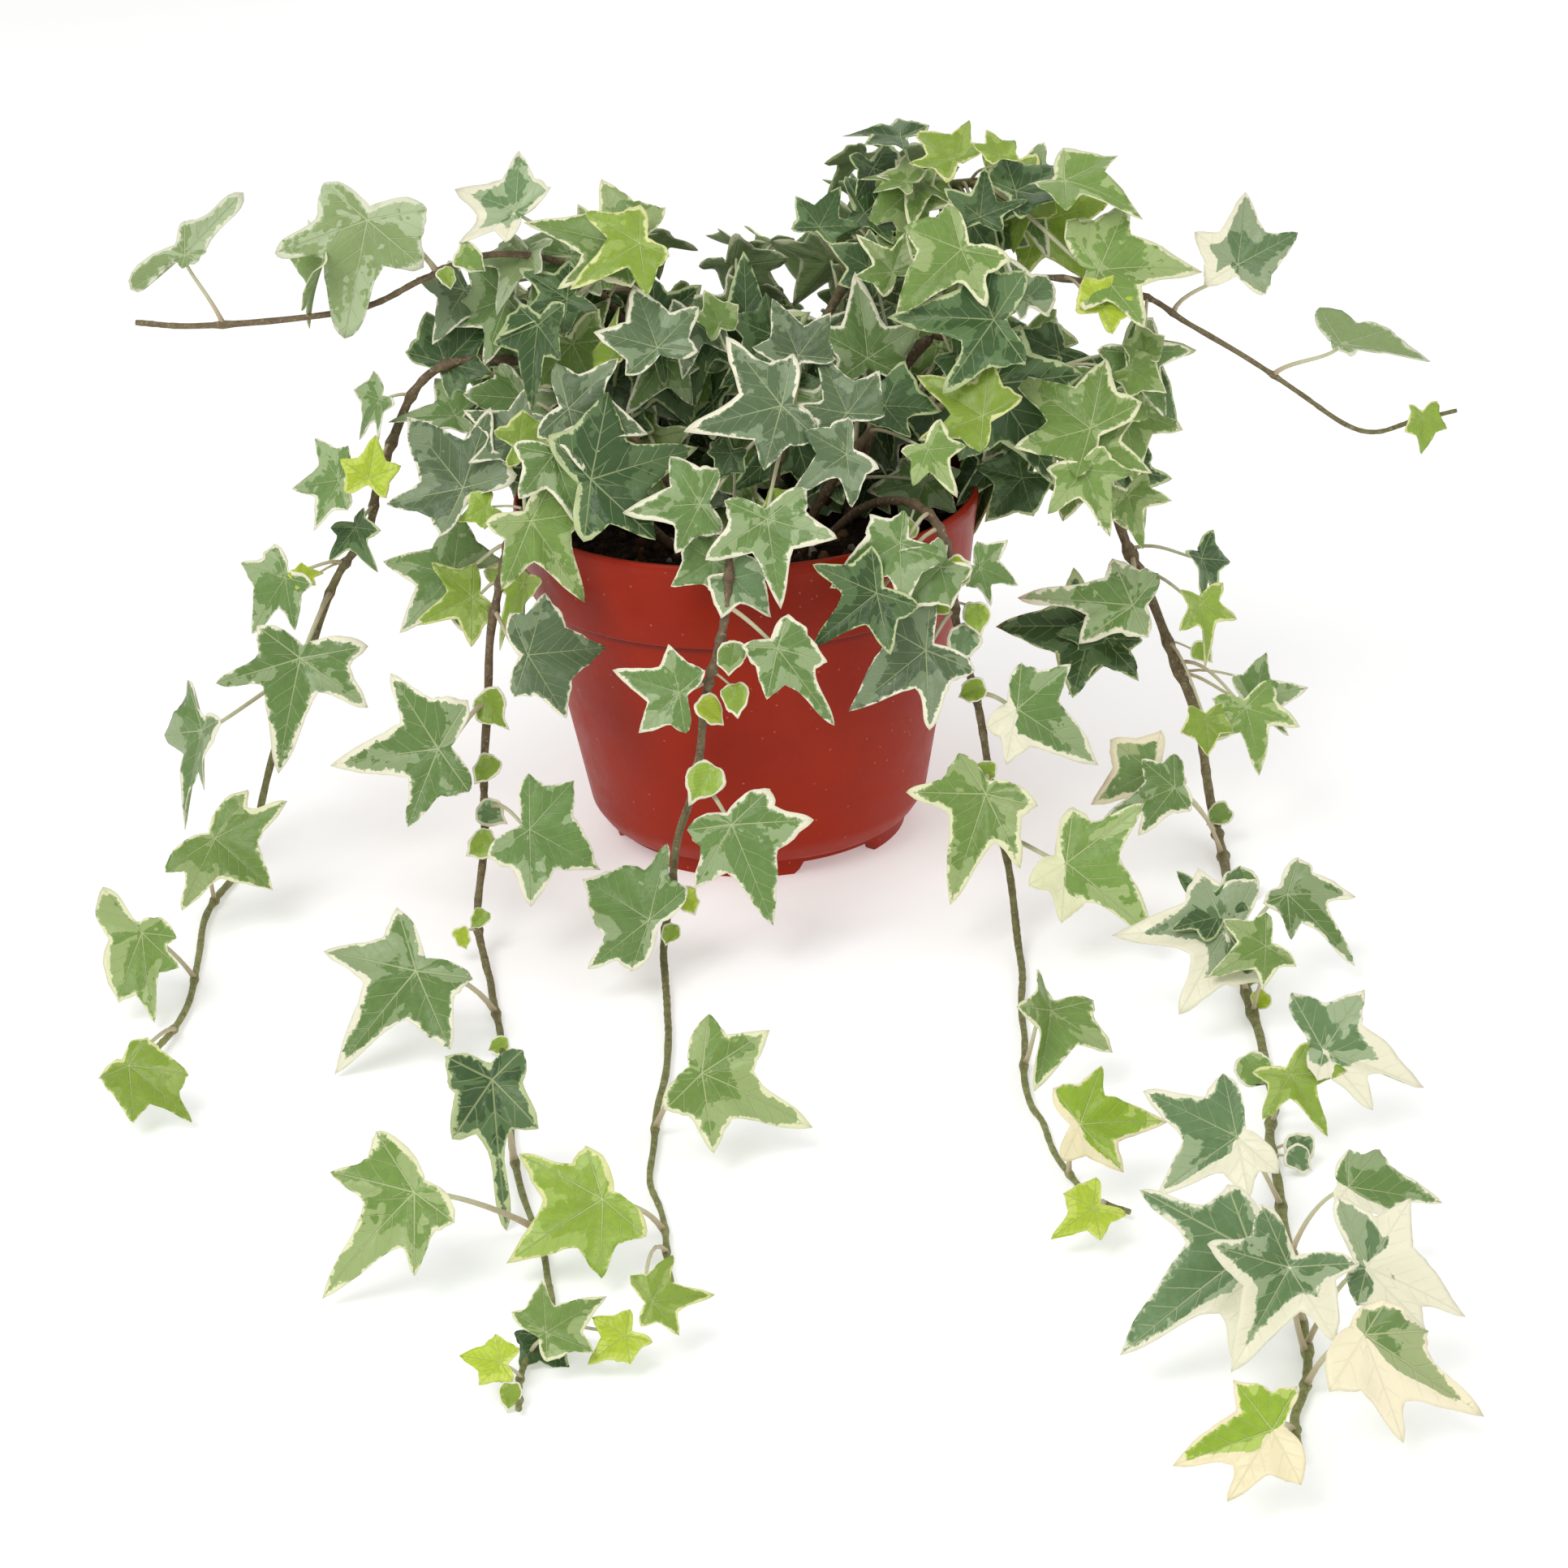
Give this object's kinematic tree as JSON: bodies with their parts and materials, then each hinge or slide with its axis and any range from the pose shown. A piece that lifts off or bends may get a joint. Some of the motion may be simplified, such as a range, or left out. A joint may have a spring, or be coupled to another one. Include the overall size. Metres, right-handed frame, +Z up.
{
  "type": "potted ivy",
  "caption": "Trailing variegated ivy in a round plastic nursery pot, with runners that spill over the rim and lie along the surface around it",
  "frame": {"origin": "centre of the pot's underside, on the surface it stands on", "axes": "+Z up along the pot's axis, -Y towards the front, where the longest runners lie, +X to the right seen from the front"},
  "size_m": [0.4312, 0.5409, 0.2285],
  "materials": {
    "pot_plastic": "satin moulded plastic, faintly scuffed",
    "soil": "dark, crumbly and matte",
    "stem": "thin bark, brown turning green towards the tip",
    "leaf": "smooth leaf, satin",
    "crown_leaf": "smooth leaf, satin"
  },
  "bodies": {
    "root": {"pot": "pot_plastic", "soil": "soil", "runner_1": "stem", "runner_2": "stem", "runner_3": "stem", "runner_4": "stem", "runner_5": "stem", "runner_6": "stem", "runner_7": "stem", "shoot_1": "crown_leaf", "shoot_2": "crown_leaf", "shoot_3": "crown_leaf", "shoot_4": "crown_leaf", "shoot_5": "crown_leaf", "shoot_6": "crown_leaf", "shoot_7": "crown_leaf", "shoot_8": "crown_leaf", "leaf_01": "leaf", "leaf_02": "leaf", "leaf_03": "leaf", "leaf_04": "leaf", "leaf_05": "leaf", "leaf_06": "leaf", "leaf_07": "leaf", "leaf_08": "leaf", "leaf_09": "leaf", "leaf_10": "leaf", "leaf_11": "leaf", "leaf_12": "leaf", "leaf_13": "leaf", "leaf_14": "leaf", "leaf_15": "leaf", "leaf_16": "leaf", "leaf_17": "leaf", "leaf_18": "leaf", "leaf_19": "leaf", "leaf_20": "leaf", "leaf_21": "leaf", "leaf_22": "leaf", "leaf_23": "leaf", "leaf_24": "leaf", "leaf_25": "leaf", "leaf_26": "leaf", "leaf_27": "leaf", "leaf_28": "leaf", "leaf_29": "leaf", "leaf_30": "leaf", "leaf_31": "leaf", "leaf_32": "leaf", "leaf_33": "leaf", "leaf_34": "leaf", "leaf_35": "leaf", "leaf_36": "leaf", "leaf_37": "leaf", "leaf_38": "leaf", "leaf_39": "leaf", "leaf_40": "leaf", "leaf_41": "leaf"}
  },
  "joints": []
}
